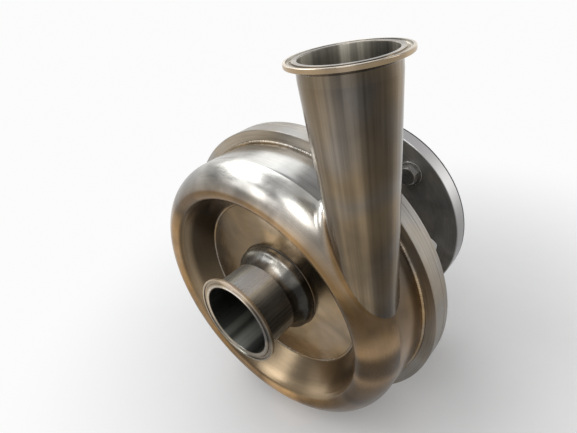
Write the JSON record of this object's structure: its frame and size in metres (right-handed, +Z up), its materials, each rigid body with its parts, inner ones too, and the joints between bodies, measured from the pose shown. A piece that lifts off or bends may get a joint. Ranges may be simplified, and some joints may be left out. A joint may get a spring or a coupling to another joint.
{
  "type": "sanitary centrifugal pump head",
  "caption": "Stainless centrifugal pump head with a ring-shaped volute, clamp-ferrule suction and discharge ports, and an adapter with a round flange for a close-coupled motor.",
  "frame": {"origin": "centre of the motor mating plane, on the shaft axis", "axes": "+Y along the shaft towards the motor, so the suction faces -Y; +Z up, along the discharge; +X to the discharge side of the casing"},
  "size_m": [0.3062, 0.2471, 0.3772],
  "materials": {
    "polished_stainless": "pressed and polished stainless sheet, softly mirror-like",
    "turned_stainless": "machined stainless with fine turning rings",
    "weld_stainless": "brushed weld bead",
    "satin_steel": "dull grey satin",
    "screw_stainless": "plain stainless fastener",
    "black_rubber": "matt black moulded rubber",
    "seat_ceramic": "lapped dark ceramic",
    "carbon": "fine-grained carbon"
  },
  "bodies": {
    "pump_head": {"suction_ferrule": "polished_stainless", "suction_base": "polished_stainless", "front_plate": "polished_stainless", "volute_ring": "polished_stainless", "casing_barrel": "polished_stainless", "discharge_nozzle": "polished_stainless", "discharge_ferrule": "polished_stainless", "weld_beads": "weld_stainless", "casing_flange": "turned_stainless", "back_plate": "turned_stainless", "casing_screws": "screw_stainless", "adapter_screws": "screw_stainless", "motor_bolts": "screw_stainless", "motor_bolt_washers": "screw_stainless", "adapter_front_ring": "satin_steel", "adapter_neck": "satin_steel", "motor_flange": "satin_steel", "motor_gasket": "black_rubber", "casing_seal_ring": "black_rubber", "seat_seal_ring": "black_rubber", "seal_seat": "seat_ceramic"},
    "rotor": {"stub_shaft": "turned_stainless", "shaft_clamp": "turned_stainless", "shaft_clamp_screw": "screw_stainless", "slinger": "black_rubber", "impeller": "turned_stainless", "impeller_key": "screw_stainless", "hub_seal_ring": "black_rubber", "impeller_nut": "polished_stainless", "nut_seal_ring": "black_rubber", "seal_face_ring": "carbon", "face_seal_ring": "black_rubber", "seal_cup": "turned_stainless", "seal_spring": "screw_stainless", "drive_collar": "turned_stainless", "collar_set_screws": "screw_stainless"}
  },
  "joints": [
    {"name": "shaft_spin", "type": "hinge", "parent": "pump_head", "child": "rotor", "pos_m": [0, -0.1, 0], "axis": [0, -1, 0], "continuous": true}
  ]
}
